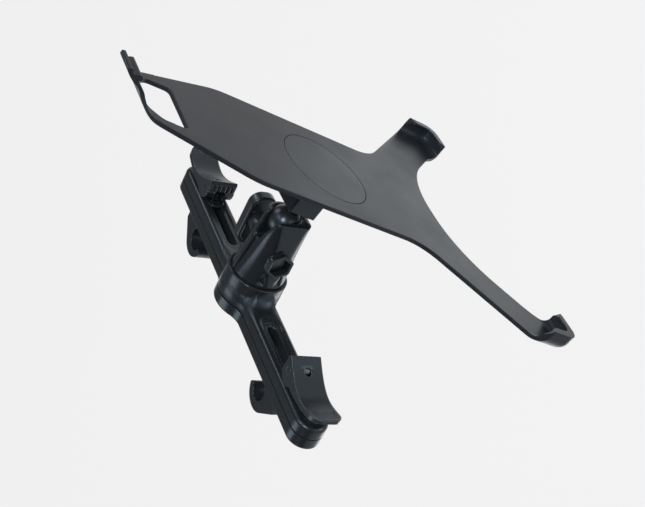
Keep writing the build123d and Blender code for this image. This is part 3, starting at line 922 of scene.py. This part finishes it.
class Assembly:
    """Some of the model's nodes and the finishes they take."""

    title = "assembly"

    def finishes(self, palette: Palette) -> dict[str, Material]:
        """Node names and their materials."""
        raise NotImplementedError

    def build(self, palette: Palette) -> None:
        """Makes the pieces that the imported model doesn't have."""

    def dress(self, palette: Palette) -> None:
        """Gives each node its finish.

        Args:
            palette: The finishes.
        """
        for node, material in self.finishes(palette).items():
            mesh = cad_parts[node].data
            mesh.materials.clear()
            mesh.materials.append(material)
            LOG.info("%s: %s takes %s", self.title, node, material.name)


@dataclass
class Cradle(Assembly):
    """The tablet cradle on its block."""

    title: str = "cradle"

    def finishes(self, palette: Palette) -> dict[str, Material]:
        """Node names and their materials.

        Args:
            palette: The finishes.

        Returns:
            A material for each node.
        """
        return {
            "cradle_plate": palette.cradle,
            "cover_disc": palette.disc,
            "adapter_block": palette.socket,
            "block_screws": palette.steel,
        }


@dataclass
class BallJoint(Assembly):
    """The ball, its stud and the split socket with its bolt and knob."""

    title: str = "ball joint"

    def finishes(self, palette: Palette) -> dict[str, Material]:
        """Node names and their materials.

        Args:
            palette: The finishes.

        Returns:
            A material for each node.
        """
        return {
            "ball": palette.ball,
            "ball_stud": palette.black_steel,
            "socket_half_near": palette.half,
            "socket_half_far": palette.half,
            "wing_knob": palette.knob,
            "knob_insert": palette.brass,
            "thrust_washer": palette.black_steel,
            "clamp_bolt": palette.black_steel,
            "release_spring": palette.steel,
        }


@dataclass
class Bar(Assembly):
    """The two shells of the bar and the screws that hold them."""

    title: str = "bar"

    def finishes(self, palette: Palette) -> dict[str, Material]:
        """Node names and their materials.

        Args:
            palette: The finishes.

        Returns:
            A material for each node.
        """
        return {
            "bar_front_shell": palette.shell,
            "bar_rear_shell": palette.shell,
            "bar_screws": palette.black_steel,
            "socket_screws": palette.black_steel,
        }


@dataclass
class PostClamp(Assembly):
    """One quick-release clamp.

    Attributes:
        side: Which end of the bar it is on.
        title: Its name in the log.
        rib_count: Grip ribs on the lever's nose.
        rib_width: Width of a rib in metres.
        rib_length: Length of a rib in metres.
        rib_drop: Distance of the ribs from the lever's front.
        rib_proud: Height of a rib over the nose's end face.
        rib_root: Depth of a rib's root inside the lever.
        rib_squareness: Power that sets how square a rib's ends are.
        steps_across: Faces across a rib.
        steps_along: Faces along a rib.
    """

    side: Side = Side.NEAR
    title: str = "post clamp"
    rib_count: int = 6
    rib_width: float = 0.0019
    rib_length: float = 0.0049
    rib_drop: float = 0.0014
    rib_proud: float = 0.0004
    rib_root: float = 0.0003
    rib_squareness: int = 6
    steps_across: int = 8
    steps_along: int = 14

    def rib_height(self, across: float, along: float) -> float:
        """How far a rib stands proud at a place on it.

        Args:
            across: Place across the rib, from -1 to 1.
            along: Place along the rib, from -1 to 1.

        Returns:
            The height in metres, which falls to 0 all round its edge.
        """
        crown = math.sqrt(max(0.0, 1.0 - across**2))
        ends = math.sqrt(max(0.0, 1.0 - along**self.rib_squareness))
        return self.rib_proud * crown * ends

    def add_rib(self, mesh: bmesh.types.BMesh, face: Vector, outward: float) -> None:
        """Adds one rounded rib to a mesh, closed and rooted in the lever.

        Args:
            mesh: The mesh to add to.
            face: The rib's middle on the nose's end face.
            outward: Direction of the face along X, 1 or -1.
        """
        rims = []
        for rooted in (False, True):
            rows = []
            for i in range(self.steps_along + 1):
                along = 2.0 * i / self.steps_along - 1.0
                row = []
                for j in range(self.steps_across + 1):
                    across = 2.0 * j / self.steps_across - 1.0
                    height = -self.rib_root if rooted else self.rib_height(across, along)
                    y = along * self.rib_length / 2
                    z = across * self.rib_width / 2
                    row.append(mesh.verts.new(face + Vector((height * outward, y, z))))
                rows.append(row)
            for first, second in zip(rows, rows[1:]):
                for j in range(self.steps_across):
                    mesh.faces.new((first[j], first[j + 1], second[j + 1], second[j]))
            rims.append(self.rim(rows))
        top, root = rims
        for i in range(len(top)):
            j = (i + 1) % len(top)
            mesh.faces.new((top[i], top[j], root[j], root[i]))

    @staticmethod
    def rim(rows: list[list[Vert]]) -> list[Vert]:
        """The points round the edge of a grid, in order.

        Args:
            rows: The grid's points, row by row.

        Returns:
            The edge's points.
        """
        right = [row[-1] for row in rows[1:-1]]
        left = [row[0] for row in rows[1:-1]]
        return rows[0] + right + rows[-1][::-1] + left[::-1]

    def build(self, palette: Palette) -> None:
        """Makes the grip ribs on the end face of the lever's nose.

        Args:
            palette: The finishes.
        """
        low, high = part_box("cam_lever_" + self.side.value)
        outward = -1.0 if self.side is Side.FAR else 1.0
        face_x = low.x if self.side is Side.FAR else high.x
        pitch = (high.z - low.z) / self.rib_count
        middle_y = low.y + self.rib_drop + self.rib_length / 2
        shape = bmesh.new()
        for index in range(self.rib_count):
            middle_z = low.z + (index + 0.5) * pitch
            self.add_rib(shape, Vector((face_x, middle_y, middle_z)), outward)
        bmesh.ops.recalc_face_normals(shape, faces=shape.faces)
        name = "nose_ribs_" + self.side.value
        mesh = bpy.data.meshes.new(name)
        shape.to_mesh(mesh)
        shape.free()
        mesh.polygons.foreach_set("use_smooth", [True] * len(mesh.polygons))
        mesh.materials.append(palette.lever)
        ribs = bpy.data.objects.new(name, mesh)
        bpy.context.scene.collection.objects.link(ribs)
        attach(ribs, "lever_" + self.side.value)
        LOG.info("%s: %s", self.title, name)

    def finishes(self, palette: Palette) -> dict[str, Material]:
        """Node names and their materials.

        Args:
            palette: The finishes.

        Returns:
            A material for each node.
        """
        end = "_" + self.side.value
        return {
            "cam_lever" + end: palette.lever,
            "lever_pin" + end: palette.black_steel,
            "draw_bolt" + end: palette.black_steel,
            "cam_seat" + end: palette.bar,
            "jaw" + end: palette.bar,
            "jaw_nut" + end: palette.black_steel,
        }


def seen_rays(wiring: Wiring) -> Socket:
    """Finds the rays that show the background: to the camera, in gloss or through glass.

    Args:
        wiring: The material's wiring.

    Returns:
        A socket that is 1 for those rays and 0 for the rest.
    """
    path = wiring.node("LightPath").outputs
    seen = wiring.maths("MAXIMUM", path["Is Camera Ray"], path["Is Glossy Ray"])
    return wiring.maths("MAXIMUM", seen, path["Is Transmission Ray"])


@dataclass(frozen=True)
class Softbox:
    """A square lamp.

    Attributes:
        name: The lamp's name.
        place: Where it stands.
        size: Its width in metres.
        power: Its power in watts.
    """

    name: str
    place: Point
    size: float
    power: float


@dataclass
class Studio:
    """Floor, light and camera.

    Attributes:
        floor_height: Height of the floor, well under the object.
        floor_size: Width of the floor.
        floor_shade: Shade of the paper itself.
        floor_glow: Brightness of the paper as a background.
        floor_fill: Brightness of the paper as a light on the object.
        floor_roughness: Roughness of the paper.
        mottle: Shade of the paper's darkest clouds, as a share.
        mottle_scale: Clouds per metre.
        sky_colour: Colour of the surround.
        sky_strength: Brightness of the surround.
        softboxes: The lamps.
        lamp_target: Where the lamps aim.
        lamp_colour: Colour of the lamps.
        camera_place: Where the camera stands.
        camera_right: Direction to the right of the picture.
        camera_up: Direction to the top of the picture.
        camera_back: Direction from the object to the camera.
        camera_reach: Farthest distance that the camera shows.
        lens: Focal length in millimetres.
        sensor: Width of the sensor in millimetres.
    """

    floor_height: float = -0.62
    floor_size: float = 12.0
    floor_shade: float = 0.04
    floor_glow: float = 0.86
    floor_fill: float = 0.2
    floor_roughness: float = 0.9
    mottle: float = 0.995
    mottle_scale: float = 3.0
    sky_colour: Colour = (1.0, 1.0, 1.0)
    sky_strength: float = 0.2
    softboxes: tuple[Softbox, ...] = (
        Softbox("key softbox", (-0.05, -1.15, 1.5), 0.9, 17.0),
        Softbox("side softbox", (-1.1, -0.7, -0.35), 0.6, 1.0),
        Softbox("rim softbox", (0.2, 0.9, 1.2), 0.7, 6.0),
        Softbox("front softbox", (-0.75, -0.75, 0.75), 0.25, 12.0),
        Softbox("edge softbox", (1.0, -0.72, 0.84), 0.4, 4.0),
        Softbox("low softbox", (0.38, -0.16, -0.56), 0.35, 0.25),
        Softbox("under softbox", (0.0, 0.3, -0.56), 0.25, 0.5),
        Softbox("lip softbox", (-0.36, -0.46, -0.55), 0.35, 1.8),
        Softbox("back softbox", (-0.75, 1.2, 0.6), 0.5, 1.0),
    )
    lamp_target: Point = (0.0, -0.06, 0.0)
    lamp_colour: Colour = (0.9, 0.955, 1.0)
    camera_place: Point = (-0.4222, -0.3762, 0.3008)
    camera_right: Point = (-0.3456, -0.4076, -0.8452)
    camera_up: Point = (0.6584, -0.7471, 0.091)
    camera_back: Point = (-0.6686, -0.5251, 0.5266)
    camera_reach: float = 60.0
    lens: float = 66.98
    sensor: float = 36.0

    def build(self) -> None:
        """Makes the stage, the lights and the camera."""
        self.floor()
        self.sky()
        for softbox in self.softboxes:
            self.lamp(softbox)
        self.camera()

    def floor(self) -> None:
        """A wide pale floor far under the object."""
        place = (0.0, 0.0, self.floor_height)
        bpy.ops.mesh.primitive_plane_add(size=self.floor_size, location=place)
        floor = bpy.context.object
        floor.name = "studio_floor"
        material, wiring, shader = new_material("pale studio paper")
        shade = wiring.noise(wiring.place(), self.mottle_scale, detail=2.0)
        dark = (self.floor_shade * self.mottle,) * 3
        paper = blend_colours(wiring, shade, dark, (self.floor_shade,) * 3)
        wiring.link(paper, shader.inputs["Base Color"])
        wiring.link(paper, shader.inputs["Emission Color"])
        glow_span = (self.floor_fill / self.floor_shade, self.floor_glow / self.floor_shade)
        glow = wiring.spread(seen_rays(wiring), RISING, glow_span)
        wiring.link(glow, shader.inputs["Emission Strength"])
        shader.inputs["Roughness"].default_value = self.floor_roughness
        shader.inputs["Specular IOR Level"].default_value = 0.0
        floor.data.materials.append(material)
        LOG.info("studio: floor")

    def sky(self) -> None:
        """An even pale surround."""
        world = bpy.data.worlds.new("pale surround")
        bpy.context.scene.world = world
        world.use_nodes = True
        back = world.node_tree.nodes["Background"]
        back.inputs["Color"].default_value = (*self.sky_colour, 1.0)
        back.inputs["Strength"].default_value = self.sky_strength

    def lamp(self, softbox: Softbox) -> None:
        """A square softbox aimed at the object.

        Args:
            softbox: Its name, place, size and power.
        """
        light = bpy.data.lights.new(softbox.name, "AREA")
        light.size = softbox.size
        light.energy = softbox.power
        light.color = self.lamp_colour
        lamp = bpy.data.objects.new(softbox.name, light)
        aim = Vector(softbox.place) - Vector(self.lamp_target)
        lamp.rotation_euler = aim.to_track_quat("Z", "Y").to_euler()
        lamp.location = softbox.place
        lamp.visible_camera = False
        bpy.context.scene.collection.objects.link(lamp)
        LOG.info("studio: %s", softbox.name)

    def camera(self) -> None:
        """The photograph's camera."""
        data = bpy.data.cameras.new("photo camera")
        data.lens = self.lens
        data.sensor_width = self.sensor
        data.sensor_fit = "HORIZONTAL"
        data.clip_end = self.camera_reach
        camera = bpy.data.objects.new("photo camera", data)
        turn = Matrix((self.camera_right, self.camera_up, self.camera_back)).transposed()
        camera.matrix_world = Matrix.Translation(self.camera_place) @ turn.to_4x4()
        bpy.context.scene.collection.objects.link(camera)
        bpy.context.scene.camera = camera
        LOG.info("studio: camera")


def main() -> None:
    """Builds the looks in order."""
    logging.basicConfig(level=logging.INFO, format="%(name)s %(message)s")
    bpy.context.scene.view_settings.view_transform = "Standard"
    palette = Palette(Effects())
    pieces = [Cradle(), BallJoint(), Bar(), PostClamp(Side.NEAR), PostClamp(Side.FAR)]
    for piece in pieces:
        piece.build(palette)
        piece.dress(palette)
    Studio().build()


if __name__ == "__main__":
    main()
